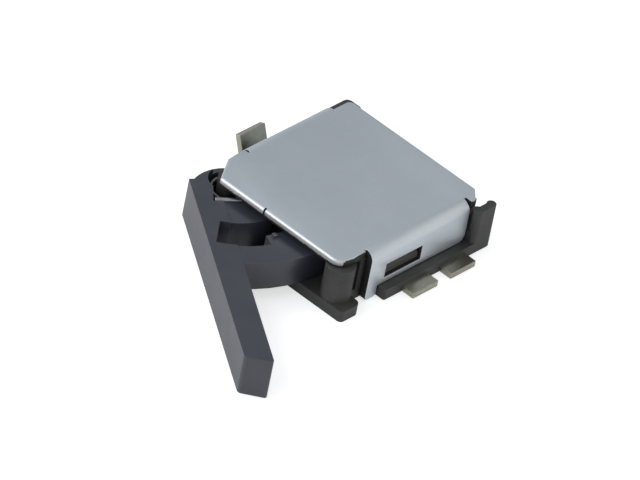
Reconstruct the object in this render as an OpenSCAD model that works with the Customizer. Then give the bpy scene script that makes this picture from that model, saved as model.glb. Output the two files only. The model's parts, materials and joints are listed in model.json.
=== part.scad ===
// Sensor switch: low-profile lever detector switch for a circuit board.
// Sizes are in millimetres. The origin is the centre of the flat underside,
// +Z is up, the lever side is -Y and the two solder feet are on the +X side.

/* [Housing] */
// Width of the housing over the side flanges
base_w = 3.84; // [3.7:0.02:4.62]
// Depth of the housing from lever side to rear
base_d = 3.86; // [3.7:0.02:4.64]
// Thickness of the floor plate and of the side flanges
floor_t = 0.22; // [0.2:0.01:0.3]
// Height of the housing walls, which the cover's sheet rests on
case_h = 0.90; // [0.86:0.01:1.2]
// Thickness of the two moulded side walls
wall_t = 0.20; // [0.14:0.01:0.26]
// Radius of the round post at the front right corner
post_r = 0.27; // [0.2:0.01:0.28]
// Size of the two rear corner posts along the side
corner_d = 0.52; // [0.3:0.01:0.6]
// Thickness of the fin that guards the cover's rear right corner
fin_t = 0.15; // [0.1:0.01:0.2]

/* [Cover] */
// Thickness of the cover's sheet
sheet_t = 0.15; // [0.1:0.01:0.18]
// Width of the flanges that stand out on both sides of the cover
flange_w = 0.17; // [0.14:0.01:0.2]
// Distance from the housing's front to the cover's front edge
cover_front_gap = 0.10; // [0.04:0.01:0.2]
// Distance from the housing's rear to the cover's rear edge
cover_rear_gap = 0.19; // [0.04:0.01:0.3]
// Outer radius of the folds between lid and side walls
fold_r = 0.20; // [0.19:0.01:0.28]
// Length of the two windows that the snap lugs stand in
window_l = 0.92; // [0.5:0.01:1.2]
// Height of the two windows
window_h = 0.29; // [0.2:0.01:0.34]
// Width of the ground leg that reaches down to the board
leg_w = 0.28; // [0.2:0.01:0.34]

/* [Lever] */
// Length of the lever's bar, measured from the pivot
bar_l = 4.90; // [4.0:0.1:6.0]
// Width of the bar
bar_w = 0.50; // [0.4:0.01:0.6]
// Height of the bar's top above the board
bar_top = 0.81; // [0.76:0.01:0.84]
// Distance from the pivot to the bar's inner face
bar_offset = 0.20; // [0.18:0.01:0.24]
// Angle between the released bar and the housing's front
rest_angle = 34.5; // [32:0.5:38]
// Angle that the lever turns through when pressed
travel = 28; // [20:1:28]
// Radius of the curved arm's outer face about the pivot
arm_r = 2.35; // [2.2:0.01:2.4]
// Radial width of the curved arm
arm_w = 0.49; // [0.4:0.01:0.55]
// Radius of the inner rib about the pivot
rib_r = 1.20; // [1.0:0.01:1.4]

/* [Pivot and spring] */
// Radius of the pivot post
pivot_r = 0.18; // [0.14:0.01:0.18]
// Radial running clearance of the hub on the pivot post
pivot_gap = 0.02; // [0.01:0.01:0.04]
// Radius of the hub's disc, which turns on the pivot post
hub_r = 0.46; // [0.42:0.01:0.5]
// Radius of the hub's pocket for the coil
pocket_r = 0.355; // [0.34:0.005:0.38]
// Diameter of the spring wire
wire_d = 0.10; // [0.07:0.01:0.1]
// Turns of the torsion spring
spring_turns = 2; // [1:1:2]

/* [Terminals] */
// Thickness of the terminal strips
strip_t = 0.12; // [0.1:0.01:0.13]
// Width of each terminal
terminal_w = 0.64; // [0.5:0.01:0.7]
// Distance that the right feet stand out of the housing
foot_out = 0.27; // [0.2:0.01:0.6]
// Distance between the centres of the two right feet
foot_pitch = 0.97; // [0.9:0.01:1.0]
// Height of the left terminal's upright end above the board
upright_h = 0.69; // [0.4:0.01:0.9]
// Outward lean of the upright end from the vertical
upright_lean = 23; // [0:1:40]

/* [Moving contact] */
// Thickness of the contact's sheet
clip_t = 0.05; // [0.04:0.01:0.06]
// Width of each wiping finger
finger_w = 0.12; // [0.08:0.01:0.14]

/* [Hidden] */
// Roundness of true circles
$fn = 64;
// Overlap that keeps cutters clear of the faces they cut through
eps = 0.05;
// Play between parts that slide or stand close to one another
play = 0.02;

// Housing: half sizes, corner radii
half_w = base_w / 2;
half_d = base_d / 2;
corner_r = 0.12;
front_corner_r = 0.08;
small_r = 0.04;

// Cover: outline, flat widths of the lid, corner radii
cover_play = 0.015;
cover_half = half_w - flange_w;
cover_inner = cover_half - sheet_t;
cover_front = -half_d + cover_front_gap;
cover_rear = half_d - cover_rear_gap;
cover_top = case_h + sheet_t;
fold_x = cover_half - fold_r;
fold_z = cover_top - fold_r;
lid_front_half = cover_half - 0.14;
lid_left_half = cover_half - 0.10;
lid_rear_half = cover_half - 0.03;
lid_cut_x = 0.33;
lid_cut_y = 0.54;
lid_front_right_r = 0.25;
lid_rear_left_r = 0.10;
lid_rear_cut = 0.23;
lid_corner_r = 0.06;
relief = 0.05;
relief_r = 0.03;
skirt_z = floor_t + play;
skirt_corner_r = 0.14;

// Housing walls: outer faces, chamfer that clears the cover's folds, ends
wall_x = cover_inner - cover_play;
wall_edge = 0.04;
post_y = half_d - corner_d;
left_wall_y = -half_d + 1.095;
right_wall_y = -half_d + 0.68;
rear_wall_y = cover_rear - play;

// Front right post: distance of its centre from the housing's side
post_in = 0.44;

// Rear corners: left post, right fin and the block that carries the fin
left_post_r = 0.10;
left_post_gap = 0.01;
inner_post_r = 0.08;
fin_r = 0.10;
fin_rear_r = 0.09;
fin_foot_h = 0.45;
fin_foot_gap = 0.10;

// Cover walls: where they start and end, windows and ground leg
right_fold_y = -half_d + 0.79;
right_end_y = post_y - 0.04;
left_end_y = right_end_y - 0.07;
window_y = -half_d + 1.22;
window_z = 0.35;
leg_y = right_fold_y;
leg_foot = 0.02;
leg_r = 0.07;

// Notch in the right flange that the ground leg passes through
notch_y = -half_d + 0.49;
notch_end_y = leg_y + leg_w + 2 * play;
notch_r = 0.13;

// Snap lugs in the windows
lug_play = 0.03;
lug_out = 0.11;
lug_face = 0.12 - lug_play;

// Pivot position from the housing's front left corner, top of its post
pivot_x = -half_w + 0.51;
pivot_y = -half_d + 0.44;
pivot_top = case_h - 0.01;

// Front left corner of the floor, cut back for the swinging bar
floor_cut_y = 0.34;
floor_cut_in = 0.06;
floor_cut_x = 0.08;
floor_cut_end_x = 0.62;

// Lever heights: slide_z is its underside above the floor, bar_z outside it
slide_z = floor_t + play;
bar_z = 0.02;
arm_top = bar_top - 0.01;
rib_top = bar_top - 0.03;

// Bar in the lever's own frame: the pivot is the origin, +X along the bar
bar_in = -bar_offset;
bar_out = -bar_offset - bar_w;
bar_tail = 0.02;
bar_end_slant = 0.165;
bar_tip_r = 0.09;
bar_edge_r = 0.05;
bar_tail_r = 0.015;

// Relief under the bar's inner half, which passes over the floor's front edge
skirt_w = 0.25;
skirt_l = 2.55;

// Opening between inner rib and curved arm
web_gap = 0.02;
web_start = -18;
web_end = 26;

// Head of the lever round the coil: one large arc blends it into the bar's tail
head_x = 0.466;
head_y = 0.024;
head_r = 0.794;
head_end_y = -0.20;
head_tail_y = bar_out + 0.08;

// Low wall that closes the hub's pocket at the lever's tail
hub_wall_top = bar_top - 0.11;
hub_wall_start = 112;
hub_wall_end = 250;

// Coil in the hub's pocket: clearance, heights of its turns
coil_gap = 0.025;
coil_r = pocket_r - coil_gap - wire_d / 2;
pocket_floor = slide_z + 0.12;
coil_pitch = wire_d + 0.012;
leg_z = bar_top + 0.005 - wire_d / 2;
coil_high = leg_z - 0.12;
coil_low = coil_high - spring_turns * coil_pitch;

// Upper leg: its end lies across the lever, then it bends in to meet the coil
leg_x = 0.53;
leg_end_y = -0.34;
leg_bend = 0.15;
leg_play = 0.025;
recess_x = leg_x + wire_d / 2 + leg_play;
recess_start = [0.16, -0.30];
recess_low_y = leg_end_y - 0.045;
recess_high_y = coil_r + wire_d;

// Lower leg: where it leaves the coil, seen from the housing, its length, its rib
leg_low_angle = 10;
leg_low_l = 0.70;
leg_rib_x = 0.09;
leg_rib_t = 0.12;

// Curved arm in the lever's own frame, with its wide inner end and moulded nub
arm_start = -14;
arm_end = 50.5;
pad_start = 13;
pad_in = arm_r - 0.74;
nub_r = 0.05;
nub_h = 0.04;
nub_angle = 18;
rib_start = -28;
rib_end = 30;

// Stops: lug on the arm, and the housing's ribs at both ends of the travel
stop_lug = 0.20;
stop_start = 44;
stop_play = 0.3;
stop_turn = 6;
stop_r = arm_r + 0.07;
stop_in = 0.105;
stop_w = wall_x - stop_in - pivot_x - stop_r;
stop_back = stop_start - rest_angle - stop_play;
stop_front = arm_end - rest_angle + travel + stop_play;

// Moving contact: sheet under the arm, staked on two pegs, with two bent fingers
clip_top = slide_z + 0.10;
clip_start = 26;
clip_end = 38;
clip_side = 0.085;
clip_peg_angle = (clip_start + clip_end) / 2;
clip_recess_side = 0.13;
clip_recess_play = 1;
peg_r = 0.06;
peg_gap = 0.01;
finger_end = 46;
finger_root = 1;
bump_r = 0.045;
bump_set = 0.3;
wipe_gap = 0.01;

// Terminals: height of the rails, place of the first foot, ends of the feet
rail_z = floor_t - strip_t;
foot_y = pivot_y + 1.45;
foot_x = half_w + foot_out;

// Rails in the floor: the common one lies outside the switched one, and it
// reaches beyond the finger's tip at both ends of the travel, and to its strip
rail_w = finger_w + 0.04;
rail_out_r = arm_r - 0.15;
rail_in_r = arm_r - 0.46;
strip_angle = asin((foot_y - pivot_y) / rail_out_r);
rail_spare = 6.5;
rail_out_start = finger_end - rest_angle - rail_spare;
rail_out_end = max(finger_end - rest_angle + travel + rail_spare, strip_angle);
rail_in_start = 24;
rail_in_end = 62;

// Step from rail level down to the foot, and the strip that links the inner rail
joggle_x = half_w - 0.76;
joggle_l = 0.16;
common_overlap = 0.10;
link_w = 0.20;
link_in = 0.12;
link_x = pivot_x + rail_in_r * cos(rail_in_end) - 0.03;
link_y = pivot_y + rail_in_r * sin(rail_in_end) - link_in;

// Left terminal: flat in the floor, anchor bar, bend and upright end
side_y = 0.01;
side_in = 0.55;
anchor_w = 0.20;
anchor_side = 0.10;
bend_x = half_w + 0.02;
bend_in = 0.05;
bend_out = bend_in + strip_t;
bend_turn = 90 - upright_lean;
bend_lap = 0.001;
upright_rise = upright_h - bend_out + bend_out * cos(bend_turn);

// Colours of the real materials
moulding_c = [0.20, 0.20, 0.20];
lever_c = [0.25, 0.26, 0.30];
sheet_c = [0.66, 0.69, 0.72];
strip_c = [0.62, 0.60, 0.50];
wire_c = [0.60, 0.60, 0.62];
clip_c = [0.72, 0.55, 0.30];

// Outline corners are [x, y, radius]; a negative radius is an inside fillet
function corner(c, i) = [c[(i + len(c)) % len(c)][0], c[(i + len(c)) % len(c)][1]];
function away(c, i, step) =
    let (v = corner(c, i + step) - corner(c, i))
    v / norm(v);
function half_angle(c, i) = acos(away(c, i, -1) * away(c, i, 1)) / 2;
function corner_cut(c, i) =
    let (r = abs(c[i][2]), d = r / tan(half_angle(c, i)))
    r == 0 ? [corner(c, i)]
           : [corner(c, i) + away(c, i, -1) * d, corner(c, i) + away(c, i, 1) * d];
function corner_centre(c, i) =
    let (m = away(c, i, -1) + away(c, i, 1))
    corner(c, i) + m / norm(m) * abs(c[i][2]) / sin(half_angle(c, i));

// Flat outline with true arcs at its corners
module outline(c) {
    difference() {
        union() {
            polygon([for (i = [0 : len(c) - 1]) each corner_cut(c, i)]);
            for (i = [0 : len(c) - 1])
                if (c[i][2] > 0)
                    translate(corner_centre(c, i))
                        circle(r = c[i][2]);
        }
        for (i = [0 : len(c) - 1])
            if (c[i][2] < 0)
                translate(corner_centre(c, i))
                    circle(r = -c[i][2]);
    }
}

// Plate between two heights
module slab(z0, z1) {
    translate([0, 0, z0])
        linear_extrude(z1 - z0)
            children();
}

// Box between two corners
module block(low, high) {
    translate(low)
        cube(high - low);
}

// Upright cylinder between two heights
module disc(r, z0, z1) {
    translate([0, 0, z0])
        cylinder(r = r, h = z1 - z0);
}

// Ring segment about the origin
module sector(r0, r1, a0, a1, z0, z1) {
    rotate([0, 0, a0])
        rotate_extrude(angle = a1 - a0)
            translate([r0, z0])
                square([r1 - r0, z1 - z0]);
}

// Stands its children at the pivot, unturned
module at_pivot() {
    translate([pivot_x, pivot_y, 0])
        children();
}

// Stands its children at the pivot, turned with the released lever
module at_lever() {
    at_pivot()
        rotate([0, 0, -rest_angle])
            children();
}

// Profile in X and Z carried along Y
module along_y(y0, y1) {
    translate([0, y1, 0])
        rotate([90, 0, 0])
            linear_extrude(y1 - y0)
                children();
}

// Profile in Y and Z carried along X
module along_x(x0, x1) {
    translate([x0, 0, 0])
        rotate([90, 0, 90])
            linear_extrude(x1 - x0)
                children();
}

// ---- housing ----

// Floor plate: its front left corner is cut back for the swinging bar
module floor_plate() {
    slab(0, floor_t)
        outline([
            [-half_w, half_d, corner_r],
            [-half_w, -half_d + floor_cut_y, small_r],
            [pivot_x - floor_cut_x, -half_d + floor_cut_in, 0],
            [pivot_x + floor_cut_end_x, -half_d, 0],
            [half_w, -half_d, front_corner_r],
            [half_w, notch_y, notch_r],
            [cover_inner - play, notch_y, -small_r],
            [cover_inner - play, notch_end_y, -small_r],
            [half_w, notch_end_y, small_r],
            [half_w, half_d, corner_r]
        ]);
}

// Side wall in section: its outer top edge is chamfered to clear the cover's fold
module wall_section() {
    polygon([
        [wall_x - wall_t, 0],
        [wall_x, 0],
        [wall_x, case_h - wall_edge],
        [wall_x - wall_edge, case_h],
        [wall_x - wall_t, case_h]
    ]);
}

// Two side walls and the rear wall between them
module walls() {
    along_y(right_wall_y, post_y + eps)
        wall_section();
    mirror([1, 0, 0])
        along_y(left_wall_y, post_y + eps)
            wall_section();
    block([-wall_x, post_y, 0], [wall_x, rear_wall_y, case_h]);
}

// Rear left corner post, which shows round the cover's corner
module left_post_outline() {
    outline([
        [-cover_half, post_y, small_r],
        [wall_t - wall_x, post_y, 0],
        [wall_t - wall_x, half_d - left_post_gap, inner_post_r],
        [-cover_half, half_d - left_post_gap, left_post_r]
    ]);
}

// Rear right corner: a thin fin that stands clear of the cover
module right_fin_outline() {
    outline([
        [half_w - fin_t, post_y, relief_r],
        [half_w, post_y, fin_r],
        [half_w, half_d, fin_rear_r],
        [half_w - fin_t, half_d, small_r]
    ]);
}

// Front right post, both rear corners and the pivot post
module posts() {
    translate([half_w - post_in, -half_d + post_r + left_post_gap, 0])
        disc(post_r, 0, case_h);
    at_pivot()
        disc(pivot_r, 0, pivot_top);
    slab(0, case_h) {
        left_post_outline();
        right_fin_outline();
    }
    block([wall_x - wall_t, post_y, 0], [half_w - fin_t / 2, half_d - fin_foot_gap, fin_foot_h]);
}

// Snap lugs: wedges that stand in the cover's windows
module snap_lugs() {
    low = window_z + lug_play;
    high = window_z + window_h - lug_play;
    for (side = [-1, 1])
        scale([side, 1, 1])
            along_y(window_y + lug_play, window_y + window_l - lug_play)
                polygon([
                    [wall_x - eps, low],
                    [wall_x + lug_out, low],
                    [wall_x + lug_out, low + lug_face],
                    [wall_x, high],
                    [wall_x - eps, high]
                ]);
}

// Ribs that stop the lever at both ends of its travel, and the rib that
// the spring's lower leg bears on
module stops() {
    at_pivot() {
        sector(stop_r, stop_r + stop_w, stop_back - stop_turn, stop_back, 0, case_h);
        sector(arm_r - arm_w, arm_r, stop_front, stop_front + stop_turn, 0, case_h);
    }
    block(
        [wall_edge - wall_x, left_wall_y, 0],
        [pivot_x + leg_rib_x, left_wall_y + leg_rib_t, case_h]
    );
}

module base() {
    color(moulding_c)
        difference() {
            union() {
                floor_plate();
                walls();
                posts();
                snap_lugs();
                stops();
            }
            terminal_common_solid();
            terminal_contact_solid();
            terminal_side_solid();
        }
}

// ---- cover ----

// Lid: narrow in front of the folds, cut back at its front left corner, with
// relief slots beside the right fold
module lid() {
    slab(case_h, cover_top)
        outline([
            [-lid_left_half, cover_front + lid_cut_y, lid_corner_r],
            [lid_cut_x - lid_left_half, cover_front, lid_corner_r],
            [lid_front_half, cover_front, lid_front_right_r],
            [lid_front_half, right_fold_y - relief, relief_r],
            [fold_x, right_fold_y - relief, 0],
            [fold_x, right_end_y + relief, 0],
            [lid_rear_half, right_end_y + relief, relief_r],
            [lid_rear_half, cover_rear - lid_rear_cut, lid_corner_r],
            [lid_rear_half - lid_rear_cut, cover_rear, lid_corner_r],
            [-fold_x, cover_rear, lid_rear_left_r],
            [-fold_x, left_wall_y - relief, 0],
            [-lid_left_half, left_wall_y - relief, relief_r]
        ]);
}

// Fold and side wall in section, for the +X side
module fold_section() {
    intersection() {
        translate([fold_x, fold_z])
            difference() {
                circle(r = fold_r);
                circle(r = fold_r - sheet_t);
            }
        translate([fold_x, fold_z])
            square(fold_r + eps);
    }
    translate([cover_inner, skirt_z])
        square([sheet_t, fold_z - skirt_z]);
}

// Window through a side wall, for the +X side
module window() {
    block(
        [cover_inner - eps, window_y, window_z],
        [cover_half + eps, window_y + window_l, window_z + window_h]
    );
}

// Rounds the lower rear corner of a side wall that ends at y, for the +X side
module skirt_corner(y) {
    translate([0, y - skirt_corner_r, skirt_z + skirt_corner_r])
        along_x(cover_inner - eps, cover_half + eps)
            difference() {
                translate([0, -skirt_corner_r - eps])
                    square(skirt_corner_r + eps);
                circle(r = skirt_corner_r);
            }
}

// Folded side wall from y0 to y1, for the +X side
module side_wall(y0, y1) {
    difference() {
        along_y(y0, y1)
            fold_section();
        window();
        skirt_corner(y1);
    }
}

// Ground leg below the right wall, with a rounded foot
module ground_leg() {
    along_x(cover_inner, cover_half)
        outline([
            [leg_y, leg_foot, leg_r],
            [leg_y + leg_w, leg_foot, leg_r],
            [leg_y + leg_w, skirt_z + eps, 0],
            [leg_y, skirt_z + eps, 0]
        ]);
}

module cover() {
    color(sheet_c) {
        lid();
        side_wall(right_fold_y, right_end_y);
        mirror([1, 0, 0])
            side_wall(left_wall_y, left_end_y);
        ground_leg();
    }
}

// ---- lever ----

// Bar with its slanted and rounded free end, relieved where it crosses the floor
module bar() {
    difference() {
        slab(bar_z, bar_top)
            outline([
                [-bar_tail, bar_out, bar_tail_r],
                [bar_l, bar_out, bar_tip_r],
                [bar_l + bar_end_slant, bar_in, bar_edge_r],
                [-bar_tail, bar_in, 0]
            ]);
        block([-bar_tail - eps, bar_in - skirt_w, bar_z - eps], [skirt_l, bar_in + eps, slide_z]);
        sector(
            rib_r + web_gap, arm_r - arm_w - web_gap,
            web_start, web_end, slide_z - eps, bar_top + eps
        );
    }
}

// Hub: disc on the pivot post with a low wall round the pocket, open where the
// spring's lower leg passes, and the head that the large arc blends into the bar
module hub() {
    disc(hub_r, slide_z, pocket_floor);
    sector(pivot_r, hub_r, hub_wall_start, hub_wall_end, slide_z, hub_wall_top);
    slab(slide_z, bar_top)
        intersection() {
            translate([head_x, head_y])
                circle(r = head_r);
            translate([head_x - head_r - eps, head_tail_y])
                square([head_x, head_end_y - head_tail_y]);
        }
}

// Pocket for the coil, with the recess that its upper leg lies in
module spring_pocket() {
    slab(pocket_floor, bar_top + eps) {
        circle(r = pocket_r);
        outline([
            [0, 0, 0],
            [recess_start[0], recess_start[1], 0],
            [recess_x, recess_low_y, small_r / 2],
            [recess_x, recess_high_y, small_r / 2],
            [0, recess_high_y, 0]
        ]);
    }
}

// Curved arm with its wide inner end, the nub on it and the lug that meets the stop
module curved_arm() {
    sector(arm_r - arm_w, arm_r, arm_start, arm_end, slide_z, arm_top);
    sector(pad_in, arm_r, pad_start, arm_end, slide_z, arm_top);
    sector(arm_r - eps, arm_r + stop_lug, stop_start, arm_end, slide_z, arm_top);
    rotate([0, 0, nub_angle])
        translate([pad_in + nub_r, 0, 0])
            disc(nub_r, slide_z, arm_top + nub_h);
}

// Places its children on the two staking pegs
module at_pegs() {
    for (r = [rail_in_r, rail_out_r])
        rotate([0, 0, clip_peg_angle])
            translate([r, 0, 0])
                children();
}

// Recess under the arm for the contact clip, with its two staking pegs
module clip_recess() {
    difference() {
        sector(
            rail_in_r - clip_recess_side, rail_out_r + clip_recess_side,
            clip_start - clip_recess_play, arm_end + stop_turn, 0, clip_top
        );
        at_pegs()
            disc(peg_r, slide_z + peg_gap, clip_top);
    }
}

module lever() {
    color(lever_c)
        at_lever()
            difference() {
                union() {
                    bar();
                    hub();
                    sector(pivot_r, rib_r, rib_start, rib_end, slide_z, rib_top);
                    curved_arm();
                }
                spring_pocket();
                clip_recess();
                disc(pivot_r + pivot_gap, 0, bar_top + eps);
            }
}

// ---- moving contact ----

// Wiping finger of length l in section, its tip formed into a round bump
module finger_section(l) {
    tip_z = floor_t + wipe_gap + bump_r;
    polygon([
        [0, clip_top],
        [0, clip_top - clip_t],
        [l, tip_z - bump_r * (1 - bump_set)],
        [l, tip_z + bump_r]
    ]);
    translate([l, tip_z])
        circle(r = bump_r);
}

module moving_contact() {
    color(clip_c)
        at_lever() {
            difference() {
                sector(
                    rail_in_r - clip_side, rail_out_r + clip_side,
                    clip_start, clip_end, clip_top - clip_t, clip_top
                );
                at_pegs()
                    disc(peg_r, 0, clip_top + eps);
            }
            for (r = [rail_in_r, rail_out_r])
                rotate([0, 0, clip_end - finger_root])
                    along_x(r - finger_w / 2, r + finger_w / 2)
                        finger_section(r * sin(finger_end - clip_end));
        }
}

// ---- torsion spring ----

// Path of the wire in the lever's frame: upper leg, its bend, coil, lower leg
coil_steps = 24;
bend_steps = 6;
coil_sweep = spring_turns * 360 + rest_angle + leg_low_angle - 90;
coil_count = round(coil_sweep / 360 * coil_steps);
function coil_point(a) = [
    coil_r * cos(90 + a), coil_r * sin(90 + a),
    coil_high - (coil_high - coil_low) * a / coil_sweep
];
function coil_heading(a) = [-sin(90 + a), cos(90 + a), 0];
function bend_point(a) = [
    leg_x - leg_bend + leg_bend * cos(a), coil_r - leg_bend + leg_bend * sin(a), leg_z
];
wire_path = [
    [leg_x, leg_end_y, leg_z],
    for (i = [0 : bend_steps]) bend_point(90 * i / bend_steps),
    for (i = [0 : coil_count]) coil_point(coil_sweep * i / coil_count),
    coil_point(coil_sweep) + leg_low_l * coil_heading(coil_sweep)
];

// Wire of round section carried along a path that never runs upright
wire_sides = 12;
function path_dir(p, i) =
    let (v = p[min(i + 1, len(p) - 1)] - p[max(i - 1, 0)])
    v / norm(v);
function wire_ring(p, i) =
    let (t = path_dir(p, i), s = cross([0, 0, 1], t), n = s / norm(s), b = cross(t, n))
    [for (k = [0 : wire_sides - 1])
        let (a = 360 * k / wire_sides)
        p[i] + wire_d / 2 * (cos(a) * n + sin(a) * b)];
module wire(p) {
    polyhedron(
        points = [for (i = [0 : len(p) - 1]) each wire_ring(p, i)],
        faces = [
            [for (k = [0 : wire_sides - 1]) wire_sides - 1 - k],
            [for (k = [0 : wire_sides - 1]) (len(p) - 1) * wire_sides + k],
            for (i = [0 : len(p) - 2])
                for (k = [0 : wire_sides - 1])
                    let (j = (k + 1) % wire_sides, a = i * wire_sides, b = a + wire_sides)
                    each [[a + k, a + j, b + j], [a + k, b + j, b + k]]
        ]
    );
}

module torsion_spring() {
    color(wire_c)
        at_lever()
            wire(wire_path);
}

// ---- terminals ----

// Strip in section from rail level at x0 down to the foot
module strip_section(x0) {
    polygon([
        [x0, rail_z],
        [joggle_x, rail_z],
        [joggle_x + joggle_l, 0],
        [foot_x, 0],
        [foot_x, strip_t],
        [joggle_x + joggle_l, strip_t],
        [joggle_x, rail_z + strip_t],
        [x0, rail_z + strip_t]
    ]);
}

// One terminal's width of its children's profile, centred on y
module terminal_strip(y) {
    along_y(y - terminal_w / 2, y + terminal_w / 2)
        children();
}

// Wiping rail in the floor
module rail(r, a0, a1) {
    at_pivot()
        sector(r - rail_w / 2, r + rail_w / 2, a0, a1, rail_z, floor_t);
}

module terminal_common_solid() {
    rail_x = pivot_x + rail_out_r * cos(strip_angle);
    terminal_strip(foot_y)
        strip_section(rail_x + common_overlap);
    rail(rail_out_r, rail_out_start, rail_out_end);
}

module terminal_contact_solid() {
    y = foot_y + foot_pitch;
    terminal_strip(y)
        strip_section(link_x - link_in);
    block([link_x - link_in, link_y, rail_z], [link_x - link_in + link_w, y, floor_t]);
    rail(rail_in_r, rail_in_start, rail_in_end);
}

// Quarter-like bend in section, from flat up to the leaning upright end
module bend_section() {
    wide = 4 * bend_out;
    difference() {
        circle(r = bend_out);
        circle(r = bend_in);
        rotate(bend_turn - 90)
            translate([-wide / 2, 0])
                square(wide);
        translate([-wide, -wide / 2])
            square(wide);
    }
}

// Left strip: flat in the floor, then bent up outside the housing
module terminal_side_solid() {
    flat_x = half_w - side_in;
    mirror([1, 0, 0]) {
        terminal_strip(side_y) {
            translate([flat_x, 0])
                square([bend_x - flat_x, strip_t]);
            translate([bend_x, bend_out])
                bend_section();
            translate([bend_x, bend_out])
                rotate(bend_turn - 90)
                    translate([bend_in, -bend_lap])
                        square([strip_t, upright_rise / cos(upright_lean)]);
        }
        block(
            [flat_x - anchor_w, side_y - terminal_w / 2 - anchor_side, 0],
            [flat_x, side_y + terminal_w / 2 + anchor_side, strip_t]
        );
    }
}

module terminal_common() {
    color(strip_c)
        terminal_common_solid();
}

module terminal_contact() {
    color(strip_c)
        terminal_contact_solid();
}

module terminal_side() {
    color(strip_c)
        terminal_side_solid();
}

base();
cover();
lever();
torsion_spring();
moving_contact();
terminal_common();
terminal_contact();
terminal_side();
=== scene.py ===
# %% [markdown]
# # A sensor switch, finished for the camera
# The switch is only four millimetres square. Its engineering model is loaded
# first: every piece is already at its real size and place, in metres. This
# script adds what a camera sees: softened edges, real surfaces, a smooth wire,
# and a small studio. Nothing that the model fixes is moved. Sizes are written in
# millimetres here, and MM turns them into metres.

# %% Load the engineering model
import json
import math
import bmesh
import bpy
from mathutils import Matrix, Vector


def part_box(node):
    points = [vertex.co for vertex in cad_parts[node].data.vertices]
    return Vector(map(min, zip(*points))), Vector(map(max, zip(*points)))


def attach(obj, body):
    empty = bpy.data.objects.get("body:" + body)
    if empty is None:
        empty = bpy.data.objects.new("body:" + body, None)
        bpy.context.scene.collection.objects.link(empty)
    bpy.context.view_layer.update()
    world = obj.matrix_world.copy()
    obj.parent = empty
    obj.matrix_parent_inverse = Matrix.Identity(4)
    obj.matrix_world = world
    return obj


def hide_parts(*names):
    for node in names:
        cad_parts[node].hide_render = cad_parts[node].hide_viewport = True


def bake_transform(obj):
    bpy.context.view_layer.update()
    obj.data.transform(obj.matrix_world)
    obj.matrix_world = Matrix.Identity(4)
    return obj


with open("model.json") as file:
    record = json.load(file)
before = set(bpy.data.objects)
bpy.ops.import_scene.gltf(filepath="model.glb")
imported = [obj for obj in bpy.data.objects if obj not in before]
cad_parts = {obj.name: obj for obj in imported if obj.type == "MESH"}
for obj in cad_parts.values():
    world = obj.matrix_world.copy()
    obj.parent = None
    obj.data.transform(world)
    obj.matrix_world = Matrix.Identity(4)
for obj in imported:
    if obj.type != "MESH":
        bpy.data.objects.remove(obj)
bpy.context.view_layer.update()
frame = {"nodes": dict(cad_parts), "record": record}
MM = 0.001
print("nodes:", sorted(frame["nodes"]))

# %% [markdown]
# ## Sums with shader sockets
# A procedural surface is a sum: noise times a tint plus an edge mask. Wiring
# every step by hand hides that sum. This small class wraps one output socket so
# that plain arithmetic makes the nodes, and `1 - mask` works as well as
# `mask - 1`.

# %% A socket that can be added and multiplied
class Value:
    def __init__(self, net, socket):
        self.net = net
        self.socket = socket

    def maths(self, operation, first, second):
        return self.net.node("Math", {"operation": operation}, {0: first, 1: second})

    def __add__(self, other):
        return self.maths("ADD", self, other)

    def __radd__(self, other):
        return self.maths("ADD", other, self)

    def __sub__(self, other):
        return self.maths("SUBTRACT", self, other)

    def __rsub__(self, other):
        return self.maths("SUBTRACT", other, self)

    def __mul__(self, other):
        return self.maths("MULTIPLY", self, other)

    def __rmul__(self, other):
        return self.maths("MULTIPLY", other, self)

    def __truediv__(self, other):
        return self.maths("DIVIDE", self, other)

    def __rtruediv__(self, other):
        return self.maths("DIVIDE", other, self)

    def ramp(self, low, high):
        """0 below low, 1 above high, with a soft step between them."""
        return self.net.node(
            "MapRange",
            {"interpolation_type": "SMOOTHSTEP", "clamp": True},
            {"Value": self, "From Min": low, "From Max": high},
        )


print("a socket now takes + - * and / from either side")

# %% [markdown]
# ## One maker for every node
# A material and the world both own a node tree. The class below fills such a
# tree through one method: it takes a node's type, its settings, which come first
# because they decide which sockets there are, and then the values or links of
# its sockets. The few patterns that all finishes share are built on it.

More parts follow.
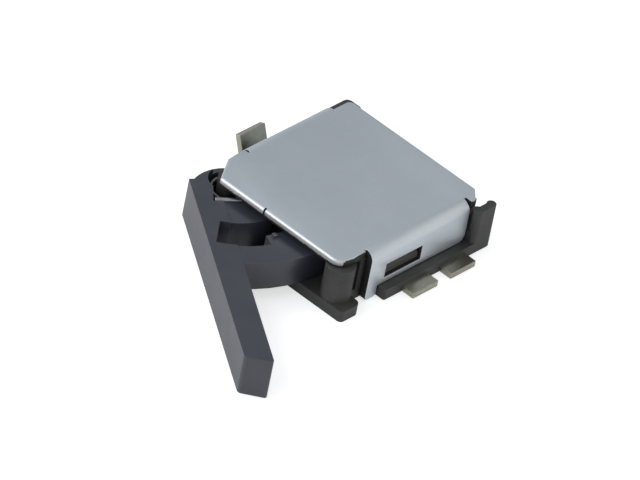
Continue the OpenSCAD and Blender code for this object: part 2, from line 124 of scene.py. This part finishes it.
# %% The node tree of a material or of the world
class Net:
    def __init__(self, owner):
        owner.use_nodes = True
        self.owner = owner
        self.tree = owner.node_tree
        self.tree.nodes.clear()

    def plug(self, target, value):
        if isinstance(value, Value):
            self.tree.links.new(value.socket, target)
        elif target.type == "RGBA":
            target.default_value = (*value, 1.0)
        else:
            target.default_value = value

    def node(self, kind, settings=None, inputs=None, output=0):
        """Any node, by its type, and a Value for the output that is asked for."""
        made = self.tree.nodes.new("ShaderNode" + kind)
        for name, setting in (settings or {}).items():
            setattr(made, name, setting)
        for name, value in (inputs or {}).items():
            self.plug(made.inputs[name], value)
        return Value(self, made.outputs[output]) if made.outputs else None

    def colour(self, first, second, share):
        """A blend of two colours: share 0 is the first, 1 the second."""
        # A Mix node has one set of sockets a data type; 6, 7 and 2 are the colours.
        return self.node("Mix", {"data_type": "RGBA"}, {0: share, 6: first, 7: second}, output=2)

    def noise(self, per_mm, stretch=(1, 1, 1), detail=3.0, rough=0.5):
        """Noise with about this many lumps a millimetre, squeezed by stretch."""
        place = self.node("TexCoord", output="Object")
        scale = tuple(s / MM for s in stretch)
        spread = self.node("Mapping", inputs={"Vector": place, "Scale": scale})
        return self.node(
            "TexNoise",
            inputs={"Vector": spread, "Scale": per_mm, "Detail": detail, "Roughness": rough},
        )

    def height(self):
        """The height above the switch's underside, in millimetres."""
        place = self.node("TexCoord", output="Object")
        return self.node("SeparateXYZ", inputs={0: place}, output="Z") / MM

    def edges(self, radius):
        """1 on sharp outer edges and 0 on flats, from how a rounded normal leans."""
        rounded = self.node("Bevel", {"samples": 6}, {"Radius": radius * MM})
        flat = self.node("NewGeometry", output="Normal")
        lean = self.node(
            "VectorMath", {"operation": "DOT_PRODUCT"}, {0: rounded, 1: flat}, output="Value"
        )
        return (1 - lean).ramp(0.02, 0.25)

    def bump(self, height, depth, under=None):
        """Relief of this depth in millimetres, on top of the relief under it."""
        inputs = {"Height": height, "Strength": 1.0, "Distance": depth * MM}
        if under:
            inputs["Normal"] = under
        return self.node("Bump", inputs=inputs)

    def finish(self, **sockets):
        """Ends the tree in one surface shader and gives back the material."""
        inputs = {name.replace("_", " "): value for name, value in sockets.items()}
        self.node("OutputMaterial", inputs={"Surface": self.node("BsdfPrincipled", inputs=inputs)})
        return self.owner


finishes = {}
print("patterns:", [name for name in vars(Net) if not name.startswith("_")])

# %% [markdown]
# ## Moulded housing
# The housing is black glass-filled plastic. Such a moulding is matt, because
# short fibres reach its skin, and it's never one even grey: the flow leaves soft
# clouds, and corners that were handled turn paler. Fine noise gives the fibre
# grain, coarse noise the clouds, and the edge mask the worn corners.

# %% Housing material
WORN_WIDTH = 0.025


def moulded_plastic(name, dark, light, rough, grain, shine):
    net = Net(bpy.data.materials.new(name))
    clouds = net.noise(1.6, detail=2.0)
    fibre = net.noise(26.0, stretch=(1.0, 2.2, 1.0), detail=4.0, rough=0.6)
    worn = net.edges(WORN_WIDTH)
    base = net.colour(dark, light, clouds.ramp(0.3, 0.7) * 0.6 + fibre.ramp(0.35, 0.7) * 0.4)
    rubbed = net.colour(base, tuple(c * 1.5 + 0.012 for c in light), worn * 0.55)
    skin = rough + fibre * 0.12 - clouds * 0.06 - worn * 0.08
    relief = net.bump(fibre, grain, net.bump(clouds, grain * 2))
    return net.finish(
        Base_Color=rubbed, Roughness=skin, Normal=relief, Specular_IOR_Level=shine
    )


finishes["case_moulding"] = moulded_plastic(
    "case_moulding", dark=(0.036, 0.036, 0.035), light=(0.061, 0.061, 0.058),
    rough=0.50, grain=0.0016, shine=0.55,
)
print("housing:", len(finishes["case_moulding"].node_tree.nodes), "nodes")

# %% [markdown]
# ## Lever moulding
# The lever is moulded from a slippery, slightly blue grade of plastic. It takes a
# smoother skin from its polished tool, so it mirrors pale surroundings at a low
# angle: that is why its long outer face looks so much lighter than its top. It is
# the housing's recipe with other numbers, because both are moulded.

# %% Lever material
finishes["lever_moulding"] = moulded_plastic(
    "lever_moulding", dark=(0.033, 0.038, 0.054), light=(0.048, 0.052, 0.069),
    rough=0.33, grain=0.0010, shine=0.85,
)
print("lever:", len(finishes["lever_moulding"].node_tree.nodes), "nodes")

# %% [markdown]
# ## Rolled sheet
# The cover is stamped from rolled sheet. Rolling leaves fine parallel lines that
# stretch the shine across them. The same noise, squeezed hard in one direction,
# drives roughness and bump together, so that bright and dull lines agree with the
# relief. Cut edges are painted brighter: partly the burnish that the tool leaves,
# partly a painted highlight along them. The recipe can also paint everything below
# a height darker, as painted shade, for the spring's turns in the pocket under the lid.

# %% Cover material
BURNISH_AND_HIGHLIGHT_WIDTH = 0.018
POCKET_SHADE = (0.05, 0.05, 0.048)
LINES_ALONG_X, LINES_ALONG_Y, LINES_LEVEL = (1.0, 9.0, 1.0), (9.0, 1.0, 1.0), (1.0, 1.0, 9.0)


def rolled_metal(name, dull, bright, rough, squeeze, line_depth, shade_top=0.0):
    net = Net(bpy.data.materials.new(name))
    lines = net.noise(7.0, stretch=squeeze, detail=5.0, rough=0.65)
    handling = net.noise(0.9, detail=3.0)
    specks = net.noise(34.0, detail=2.0)
    # Painted highlight, partly real burnish: the edges are tinted brighter.
    cut = net.edges(BURNISH_AND_HIGHLIGHT_WIDTH)
    base = net.colour(dull, bright, lines.ramp(0.35, 0.65) * 0.5 + handling.ramp(0.35, 0.7) * 0.5)
    tint = net.colour(base, tuple(min(1.0, c * 1.12) for c in bright), cut)
    skin = rough + lines * 0.10 + specks.ramp(0.62, 0.75) * 0.08 - cut * 0.08
    relief = net.bump(lines, line_depth, net.bump(specks, line_depth * 0.5))
    # Painted shade: below the given height the colour is darkened, for the spring's turns under
    # the lid.
    if shade_top:
        shaded_below = 1 - net.height().ramp(shade_top - 0.03, shade_top + 0.01)
        tint = net.colour(tint, POCKET_SHADE, shaded_below * 0.6)
    return net.finish(Base_Color=tint, Metallic=1.0, Roughness=skin, Normal=relief)


finishes["cover_sheet"] = rolled_metal(
    "cover_sheet", dull=(0.675, 0.73, 0.78), bright=(0.725, 0.78, 0.83),
    rough=0.48, squeeze=LINES_ALONG_X, line_depth=0.0006,
)
print("cover:", len(finishes["cover_sheet"].node_tree.nodes), "nodes")

# %% [markdown]
# ## Strips, clip and wire
# The three terminals are plated strip, warmer and darker than the cover. The
# wiping clip is bare spring brass. The spring is drawn wire: its turns are painted
# darker, as painted shade of the pocket under the lid, and the short leg above them
# stays bright. All of these are rolled or drawn, so the same recipe makes them.

# %% Strip, clip and wire materials
finishes["terminal_strip"] = rolled_metal(
    "terminal_strip", dull=(0.36, 0.35, 0.29), bright=(0.50, 0.49, 0.41),
    rough=0.30, squeeze=LINES_ALONG_Y, line_depth=0.0006,
)
finishes["contact_sheet"] = rolled_metal(
    "contact_sheet", dull=(0.62, 0.44, 0.22), bright=(0.74, 0.55, 0.30),
    rough=0.24, squeeze=LINES_ALONG_Y, line_depth=0.0004,
)
# The spring's turns get painted shade below 0.70 mm, where they sit in the pocket under the lid.
finishes["spring_wire"] = rolled_metal(
    "spring_wire", dull=(0.42, 0.42, 0.44), bright=(0.60, 0.60, 0.62),
    rough=0.24, squeeze=LINES_LEVEL, line_depth=0.0004, shade_top=0.70,
)
print("metals:", [name for name in finishes if "moulding" not in name])

# %% [markdown]
# ## Sheared edges
# A punch cuts sheet in two stages. It first rolls the top edge over and shaves a
# bright band, then the rest of the thickness tears and stays dull and coarse. So
# the thin cut faces get a finish of their own: height in the sheet decides where
# the bright band ends, and noise makes that line wander as a torn edge does. Below
# that line the face is painted near black: the dull tear, with painted shade under
# the rolled band. A second version has no bright band and is painted shade all
# over, for the cut faces of the folded sides and for a nick.

# %% Sheared and torn edge materials
SHEET = 0.15
TORN_METAL_AND_SHADE, SHAVED_METAL = (0.07, 0.068, 0.066), (0.74, 0.75, 0.76)
cover_low, cover_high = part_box("cover")


def cut_metal(name, band):
    """A punched face; band is 1 where its upper part was shaved bright, else 0."""
    net = Net(bpy.data.materials.new(name))
    sheet_bottom = cover_high[2] / MM - SHEET
    share_up = (net.height() - sheet_bottom) / SHEET
    tear = net.noise(9.0, stretch=(1.0, 1.0, 0.25), detail=4.0, rough=0.7)
    shaved = (share_up + (tear - 0.5) * 0.35).ramp(0.22, 0.40) * band
    grit = net.noise(30.0, detail=3.0)
    # Painted shade: the torn part below the bright band is near black.
    colour = net.colour(TORN_METAL_AND_SHADE, SHAVED_METAL, shaved)
    skin = 0.62 - shaved * 0.16 + grit * 0.1
    relief = net.bump(grit * (1 - shaved), 0.004)
    return net.finish(Base_Color=colour, Metallic=1.0, Roughness=skin, Normal=relief)


finishes["sheared_edge"] = cut_metal("sheared_edge", band=1.0)
# The version without a bright band is painted shade all over.
finishes["torn_and_shaded_edge"] = cut_metal("torn_and_shaded_edge", band=0.0)
print("cut faces:", finishes["sheared_edge"].name, "and", finishes["torn_and_shaded_edge"].name)

# %% [markdown]
# ## The stamped cover
# The lid's front edge catches the light along its whole length, because the punch
# has rolled it over. A modifier would round every edge alike, so the cover is
# rebuilt from a copy of its engineering mesh. That mesh is loose triangles, so the
# copy is merged first, and flat neighbours are joined into one face.

# %% Merge a copy of the cover
def merged_copy(node):
    bm = bmesh.new()
    bm.from_mesh(frame["nodes"][node].data)
    bmesh.ops.remove_doubles(bm, verts=bm.verts, dist=0.00005 * MM)
    bmesh.ops.dissolve_limit(
        bm, angle_limit=math.radians(0.5), verts=bm.verts, edges=bm.edges,
        use_dissolve_boundaries=False, delimit=set(),
    )
    return bm


lid = merged_copy("cover")
print("cover copy:", len(lid.faces), "faces")

# %% [markdown]
# ## Rolled skin or cut face?
# The sheet's two skins keep the rolled finish, and what the punch cut gets the
# sheared one. Picking faces by hand wouldn't survive a change of size, so each
# face is told by where it lies and which way it looks. This comes before any edge
# is rounded, because a bevel's new faces take their neighbours' material.

# %% Mark the cut faces
ROLLED, SHEARED, TORN_AND_SHADED = 0, 1, 2
CLOSE = 0.002
TILTED, FACING = 0.05, 0.9


def on_skin(place, outside):
    """True at the sheet's outer skin or at its inner one, a thickness further in."""
    return min(abs(place - outside), abs(place - outside + SHEET)) < CLOSE


def is_sheet_face(face):
    """True on rolled surfaces, which the punch hasn't cut."""
    normal, centre = face.normal, face.calc_center_median() / MM
    on_fold = abs(normal.x) > TILTED and abs(normal.z) > TILTED
    on_side = abs(normal.x) > FACING and on_skin(abs(centre.x), cover_high[0] / MM)
    on_lid = abs(normal.z) > FACING and on_skin(centre.z, cover_high[2] / MM)
    return abs(normal.y) <= TILTED and (on_fold or on_side or on_lid)


for face in lid.faces:
    face.material_index = ROLLED if is_sheet_face(face) else SHEARED
print("cut faces:", sum(face.material_index == SHEARED for face in lid.faces))

# %% [markdown]
# ## Edges that the punch rolled
# On the real lid the front outline is clearly round, and every other edge has only
# a hair of rounding. A bevel does both: four steps and a wide offset along the
# front, two steps and a small one elsewhere. On the left the wide one runs round
# the slanted corner and on to the folded side. On the right it ends where the
# round corner does.

# %% Roll the front edge over
LID_ROLL, HAIR = 0.055, 0.010
ROLL_END_LEFT, ROLL_END_RIGHT = -1.05, -1.40


def sharp_edges(bm, degrees):
    return [
        e for e in bm.edges
        if len(e.link_faces) == 2 and e.calc_face_angle(0) > math.radians(degrees)
    ]


def round_over(bm, edges, width, steps):
    bmesh.ops.bevel(
        bm, geom=edges, offset=width * MM, offset_type="OFFSET", affect="EDGES",
        segments=steps, profile=0.5, material=-1, clamp_overlap=False,
    )


top = cover_high[2] - 0.001 * MM
rolled = []
for edge in sharp_edges(lid, 35):
    middle = (edge.verts[0].co + edge.verts[1].co) / 2
    roll_end = ROLL_END_RIGHT if middle.x > 0 else ROLL_END_LEFT
    if middle.z > top and middle.y < roll_end * MM:
        rolled.append(edge)
print("rolled edges:", len(rolled))
round_over(lid, rolled, LID_ROLL, steps=4)
round_over(lid, sharp_edges(lid, 50), HAIR, steps=2)

# %% [markdown]
# ## A nick in the front edge
# One small nick breaks the line of light, as a knock in the parts feeder leaves
# it. It could be a dent in the bump, but an edge needs a real one to break its
# outline. A narrow strip along the front is cut off from the lid's face, three
# planes cut that strip across, and the middle cut is pushed in and down. Only the
# strip is cut, so the lid's shading stays as it was.

# %% Press the nick
NICK_X, NICK_HALF, NICK_STRIP, NICK_DEPTH = -0.248, 0.022, 0.06, 0.10
NICK_PUSH = (0, 0.022, -0.010)


def cut_faces(bm, faces, place, across):
    edges = list(dict.fromkeys(e for f in faces for e in f.edges))
    verts = list(dict.fromkeys(v for f in faces for v in f.verts))
    bmesh.ops.bisect_plane(
        bm, geom=[*verts, *edges, *faces], dist=0.0001 * MM, plane_co=place, plane_no=across
    )


nick_end = cover_low[1] + NICK_STRIP * MM
cut_faces(lid, list(lid.faces), (0, nick_end, 0), (0, 1, 0))
for x in (NICK_X - NICK_HALF, NICK_X, NICK_X + NICK_HALF):
    front = [f for f in lid.faces if f.calc_center_median().y < nick_end]
    cut_faces(lid, front, (x * MM, 0, 0), (1, 0, 0))
nick = [
    v for v in lid.verts
    if abs(v.co.x - NICK_X * MM) < CLOSE * MM and v.co.y < nick_end - CLOSE * MM
    and v.co.z > top - NICK_DEPTH * MM
]
bmesh.ops.translate(lid, verts=nick, vec=Vector(NICK_PUSH) * MM)
print("nick: moved", len(nick), "points")

# %% [markdown]
# ## Setting the cover down
# The new piece takes the place of the engineering one, which stays, hidden. It's
# shaded smooth, apart from the nick's few faces. The bevel may have lifted a point
# by a few thousandths of a millimetre, and nothing may stand above the real height,
# so points are held to the lid's top. The dark torn finish, painted shade, goes to
# the nick and to the cut faces of the folded sides.

# %% Shade the cover and put it in place
def finished_piece(name, bm, node, materials):
    """Turns a bmesh into the piece that stands for an engineering node."""
    mesh = bpy.data.meshes.new(name)
    bm.to_mesh(mesh)
    bm.free()
    for material in materials:
        mesh.materials.append(material)
    piece = bpy.data.objects.new(name, mesh)
    bpy.context.collection.objects.link(piece)
    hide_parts(node)
    return piece


for vert in lid.verts:
    vert.co.z = min(vert.co.z, cover_high[2])
for face in lid.faces:
    centre = face.calc_center_median()
    nicked = abs(centre.x - NICK_X * MM) < NICK_HALF * MM and centre.y < nick_end
    on_fold = abs(centre.x) > 0.9 * cover_high[0]
    face.smooth = not nicked
    # Painted shade: the nick and the cut faces of the folded sides get the near-black finish.
    if nicked or (face.material_index == SHEARED and on_fold):
        face.material_index = TORN_AND_SHADED
cover = finished_piece(
    "stamped_cover", lid, "cover",
    [finishes["cover_sheet"], finishes["sheared_edge"], finishes["torn_and_shaded_edge"]],
)
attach(cover, "case")
print("cover:", len(cover.data.polygons), "faces")

# %% [markdown]
# ## The torsion spring
# The spring is one drawn wire: a short leg lying in the lever's recess, a bend, two
# turns round the pivot post, and a long leg that bears on the housing. A curve with
# a round section could follow that path, but its points would be a list of numbers.
# So it's made as a coiling machine makes it, from the sizes that such a machine is
# set to.

# %% Wire sizes, in the lever's own frame
WIRE, COIL_RADIUS, PITCH, TURNS, CROP = 0.05, 0.28, 0.112, 2, 0.008
LEG_X, LEG_END_Y, LEG_BEND, LEG_DROP = 0.53, -0.34, 0.15, 0.12
LOWER_LEG, LOWER_TURN = 0.70, 10
REST_ANGLE = 34.5
spring_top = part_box("torsion_spring")[1][2] / MM
leg_z = spring_top - WIRE
sweep = TURNS * 360 + REST_ANGLE + LOWER_TURN - 90
sink = TURNS * PITCH
print("coil sweep", sweep, "degrees, sinking", sink, "mm")

# %% [markdown]
# ## Push and coil
# Two moves shape the wire. A push draws the round section out straight. A coil
# spins it about a centre while it sinks a little at every step, and keeps the
# section square to the path all the way.

# %% Two moves for a wire
def push(bm, edges, step):
    made = bmesh.ops.extrude_edge_only(bm, edges=edges)["geom"]
    ends = [g for g in made if isinstance(g, bmesh.types.BMVert)]
    bmesh.ops.translate(bm, verts=ends, vec=Vector(step) * MM)
    return [
        g for g in made
        if isinstance(g, bmesh.types.BMEdge) and all(v in ends for v in g.verts)
    ]


def coil(bm, edges, centre, degrees, steps, drop=0.0):
    made = bmesh.ops.spin(
        bm, geom=edges, cent=Vector(centre) * MM, axis=(0, 0, 1),
        dvec=(0, 0, -drop / steps * MM), angle=math.radians(degrees), steps=steps,
        use_merge=False, use_duplicate=False,
    )["geom_last"]
    return [g for g in made if isinstance(g, bmesh.types.BMEdge)]


wire = bmesh.new()
bmesh.ops.create_circle(wire, cap_ends=True, segments=16, radius=WIRE * MM)
leg_end = Matrix.Translation(Vector((LEG_X, LEG_END_Y, leg_z)) * MM)
upright = Matrix.Rotation(math.radians(90), 4, "X")
bmesh.ops.transform(wire, matrix=leg_end @ upright, verts=wire.verts)
print("wire starts as a section of", len(wire.verts), "points")

# %% [markdown]
# ## The wire's path
# The section starts at the short leg's free end. It's pushed along that leg, coiled
# round the bend, and pushed across to the turns and down to their top. Then it's
# coiled round the post, and pushed out along the long leg. The end is closed, the
# seams between the moves are merged, and both cut ends get a small bevel, as a
# cropped wire has.

# %% Make the wire
edges = push(wire, list(wire.edges), (0, COIL_RADIUS - LEG_BEND - LEG_END_Y, 0))
edges = coil(wire, edges, (LEG_X - LEG_BEND, COIL_RADIUS - LEG_BEND, 0), 90, steps=10)
edges = push(wire, edges, (LEG_BEND - LEG_X, 0, -LEG_DROP))
edges = coil(wire, edges, (0, 0, 0), sweep, steps=90, drop=sink)
heading = math.radians(90 + sweep)
edges = push(wire, edges, Vector((-math.sin(heading), math.cos(heading), 0)) * LOWER_LEG)
bmesh.ops.contextual_create(wire, geom=edges)
bmesh.ops.remove_doubles(wire, verts=wire.verts, dist=0.0005 * MM)
bmesh.ops.recalc_face_normals(wire, faces=wire.faces)
caps = [f for f in wire.faces if len(f.verts) > 4]
round_over(wire, [e for f in caps for e in f.edges], CROP, steps=2)
print("wire:", len(wire.faces), "faces,", len(caps), "ends")

# %% [markdown]
# ## Setting the spring on its post
# The wire was made round the origin, square to the lever. It's turned by the
# lever's rest angle and moved to the pivot, whose place the record holds. When the
# lever turns, the short leg goes with it and the long leg stays on the housing, so
# the piece isn't attached to either body.

# %% Put the spring in place
pivot = Vector(frame["record"]["behaviour"]["joints"][0]["pos_m"])
post = Matrix.Translation((pivot.x, pivot.y, 0))
lever_turn = Matrix.Rotation(math.radians(-REST_ANGLE), 4, "Z")
bmesh.ops.transform(wire, matrix=post @ lever_turn, verts=wire.verts)
for face in wire.faces:
    face.smooth = len(face.verts) < 5
spring = finished_piece(
    "coiled_spring", wire, "torsion_spring", [finishes["spring_wire"]]
)
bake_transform(spring)
print("spring:", len(spring.data.polygons), "faces")

# %% [markdown]
# ## Finishing the other engineering nodes
# Mouldings and strips have no razor edges either. On these a Weld modifier joins
# the loose triangles and a Bevel modifier rounds each edge by a few hundredths of a
# millimetre. Their meshes stay as they are, so the engineering shape is untouched.
# The cover and the spring have pieces of their own, so theirs are left sharp.

# %% Give every node its material and soft edges
SOFT_EDGE = {
    "case_moulding": 0.022,
    "lever_moulding": 0.026,
    "terminal_strip": 0.014,
    "contact_sheet": 0.006,
}
SOFT_STEPS, CREASE = 3, 40
for part in frame["record"]["subparts"]:
    node = frame["nodes"][part["node"]]
    slot = part["material_slot"]
    node.data.materials.clear()
    node.data.materials.append(finishes[slot])
    if slot in SOFT_EDGE:
        weld = node.modifiers.new("weld", "WELD")
        weld.merge_threshold = 0.0001 * MM
        soften = node.modifiers.new("soft_edges", "BEVEL")
        soften.width = SOFT_EDGE[slot] * MM
        soften.segments = SOFT_STEPS
        soften.limit_method = "ANGLE"
        soften.angle_limit = math.radians(CREASE)
        soften.harden_normals = True
    print(part["node"], "wears", slot)

# %% [markdown]
# ## The floor
# The switch stands on a plain white floor that fades into a white surround. More
# light would whiten the floor and burn out the lid, so the floor glows instead: for
# the camera, and a little for mirror rays, as a light table does. It still takes
# the switch's shadow, because the glow is added to its own pale surface.

# %% Floor
FLOOR_SIZE, GLOW, MIRRORED_SHARE = 150, 0.62, 0.34


def floor_material():
    net = Net(bpy.data.materials.new("floor_white"))
    paper = net.colour((0.84, 0.84, 0.84), (0.87, 0.87, 0.87), net.noise(0.2, detail=2.0))
    camera_ray = net.node("LightPath", output="Is Camera Ray")
    mirror_ray = net.node("LightPath", output="Is Glossy Ray")
    glow = net.node("Emission", inputs={"Color": (1.0, 1.0, 1.0), "Strength": GLOW})
    dark = net.node("Emission", inputs={"Color": (0.0, 0.0, 0.0), "Strength": 0.0})
    share = camera_ray + mirror_ray * MIRRORED_SHARE
    seen = net.node("MixShader", inputs={0: share, 1: dark, 2: glow})
    sheet = net.node("BsdfPrincipled", inputs={"Base Color": paper, "Roughness": 0.9})
    both = net.node("AddShader", inputs={0: sheet, 1: seen})
    net.node("OutputMaterial", inputs={"Surface": both})
    return net.owner


mesh = bpy.data.meshes.new("floor")
bm = bmesh.new()
bmesh.ops.create_grid(bm, x_segments=2, y_segments=2, size=FLOOR_SIZE * MM)
bm.to_mesh(mesh)
bm.free()
mesh.materials.append(floor_material())
floor = bpy.data.objects.new("floor", mesh)
bpy.context.collection.objects.link(floor)
print("floor:", 2 * FLOOR_SIZE, "mm square")

# %% [markdown]
# ## Three soft boxes
# A tiny part is lit in a light tent, by large lamps close to it. The one at the
# front left draws the bright line on the rolled edge. The wide warm one at the rear
# right lights the folded side, and stays behind the post, so that the gap beside it
# is dark. A weak low one at the front lifts the lever's end.

# %% Lamps
def soft_lamp(name, place, size, watts, tint=(1.0, 1.0, 1.0)):
    """A rectangular lamp that looks at the switch."""
    data = bpy.data.lights.new(name, "AREA")
    data.shape = "RECTANGLE"
    data.size, data.size_y = size[0] * MM, size[1] * MM
    data.energy = watts
    data.color = tint
    lamp = bpy.data.objects.new(name, data)
    lamp.location = Vector(place) * MM
    lamp.rotation_euler = (-Vector(place)).to_track_quat("-Z", "Y").to_euler()
    bpy.context.collection.objects.link(lamp)
    print(name, "at", place, "mm")


soft_lamp("front_left_box", (-50, -60, 50), (80, 96), 0.044)
soft_lamp("rear_right_box", (66, 68, 34), (180, 110), 0.025, tint=(1.0, 0.92, 0.76))
soft_lamp("front_low_box", (20, -80, 30), (70, 40), 0.008)

# %% [markdown]
# ## The dome
# Only the camera sees the surround as pure white. The object is lit by a softer,
# slightly blue grey dome, as by the tent's cloth, so that dark plastic stays dark.

# %% Surround
world = bpy.data.worlds.new("surround")
bpy.context.scene.world = world
net = Net(world)
dome = net.node("Background", inputs={"Color": (0.62, 0.64, 0.67), "Strength": 0.69})
white = net.node("Background", inputs={"Color": (1.0, 1.0, 1.0), "Strength": 1.0})
camera_ray = net.node("LightPath", output="Is Camera Ray")
seen = net.node("MixShader", inputs={0: camera_ray, 1: dome, 2: white})
net.node("OutputWorld", inputs={"Surface": seen})
print("surround:", len(world.node_tree.nodes), "nodes")

# %% [markdown]
# ## The camera
# A long lens from well above the front right corner keeps the edges almost
# parallel, as product shots of tiny parts do. The camera's axes are written down
# as directions in the model's frame, so nothing depends on angles in some order.
# How far it stands away follows from the width that the shot shows at its aim,
# which is the switch's middle, moved a little so that the switch sits well in the
# frame.

# %% Camera
RIGHT = Vector((0.7139, 0.6815, 0.1608))
DOWN = Vector((0.5125, -0.3521, -0.7832))
FORWARD = RIGHT.cross(DOWN).normalized()
LENS, SENSOR = 600.0, 36.0
SHOT_WIDTH = 11.1208
AIM_RIGHT, AIM_DOWN, AIM_NEARER = -0.2909, 0.2236, 1.17
aim = RIGHT * AIM_RIGHT + DOWN * AIM_DOWN - FORWARD * AIM_NEARER
distance = LENS / SENSOR * SHOT_WIDTH
camera_data = bpy.data.cameras.new("camera")
camera_data.lens = LENS
camera_data.sensor_width = SENSOR
camera = bpy.data.objects.new("camera", camera_data)
bpy.context.collection.objects.link(camera)
camera.rotation_euler = Matrix((RIGHT, -DOWN, -FORWARD)).transposed().to_euler()
camera.location = (aim - FORWARD * distance) * MM
bpy.context.scene.camera = camera
bpy.context.scene.view_settings.view_transform = "Standard"
print("camera:", round(distance, 1), "mm from its aim")
